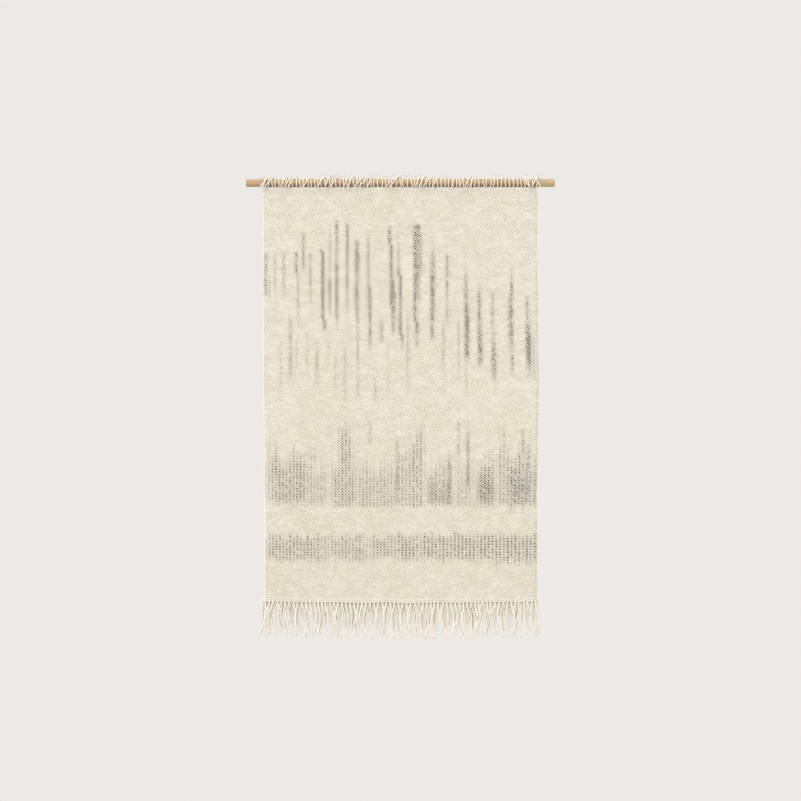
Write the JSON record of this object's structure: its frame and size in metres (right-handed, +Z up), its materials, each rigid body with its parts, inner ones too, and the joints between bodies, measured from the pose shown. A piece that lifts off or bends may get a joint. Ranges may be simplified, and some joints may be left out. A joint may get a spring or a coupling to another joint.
{
  "type": "tapestry wall hanging",
  "caption": "Flat-woven wool tapestry with dyed streak bands, looped by its warps over a round wooden rod, with a knotted fringe along the bottom.",
  "frame": {"origin": "middle of the rod's axis, where the wall's hooks hold it", "axes": "+X along the rod to the right as seen from the front, +Z up, -Y the decorated front, +Y the wall side"},
  "size_m": [0.785, 0.0329, 1.1748],
  "materials": {
    "rod_wood": "plain pale oak, sanded, no varnish",
    "woven_wool": "undyed flat-woven wool and cotton with charcoal dyed streaks",
    "warp_yarn": "undyed plied cotton yarn",
    "edge_yarn": "undyed yarn, doubled or twined"
  },
  "bodies": {
    "rod": {"rod": "rod_wood"},
    "loops": {"warp_loops": "warp_yarn", "loose_end_01": "warp_yarn", "loose_end_02": "warp_yarn", "loose_end_03": "warp_yarn", "loose_end_04": "warp_yarn", "loose_end_05": "warp_yarn", "loose_end_06": "warp_yarn", "loose_end_07": "warp_yarn", "loose_end_08": "warp_yarn", "loose_end_09": "warp_yarn", "loose_end_10": "warp_yarn", "loose_end_11": "warp_yarn", "loose_end_12": "warp_yarn", "loose_end_13": "warp_yarn", "loose_end_14": "warp_yarn", "loose_end_15": "warp_yarn", "loose_end_16": "warp_yarn", "loose_end_17": "warp_yarn", "loose_end_18": "warp_yarn", "loose_end_19": "warp_yarn", "loose_end_20": "warp_yarn", "loose_end_21": "warp_yarn"},
    "cloth": {"woven_web": "woven_wool", "left_selvedge": "edge_yarn", "right_selvedge": "edge_yarn", "border_cord": "edge_yarn"},
    "fringe": {"fringe_01": "warp_yarn", "fringe_02": "warp_yarn", "fringe_03": "warp_yarn", "fringe_04": "warp_yarn", "fringe_05": "warp_yarn", "fringe_06": "warp_yarn", "fringe_07": "warp_yarn", "fringe_08": "warp_yarn", "fringe_09": "warp_yarn", "fringe_10": "warp_yarn", "fringe_11": "warp_yarn", "fringe_12": "warp_yarn", "fringe_13": "warp_yarn", "fringe_14": "warp_yarn"}
  },
  "joints": [
    {"name": "loops_along_rod", "type": "slide", "parent": "rod", "child": "loops", "axis": [1, 0, 0], "range_m": [-0.04, 0.04]},
    {"name": "cloth_swing", "type": "hinge", "parent": "loops", "child": "cloth", "pos_m": [0, 0, -0.01676], "axis": [-1, 0, 0], "range_deg": [0, 75]},
    {"name": "fringe_swing", "type": "hinge", "parent": "cloth", "child": "fringe", "pos_m": [0, 0, -1.06206], "axis": [-1, 0, 0], "range_deg": [-75, 75]}
  ]
}
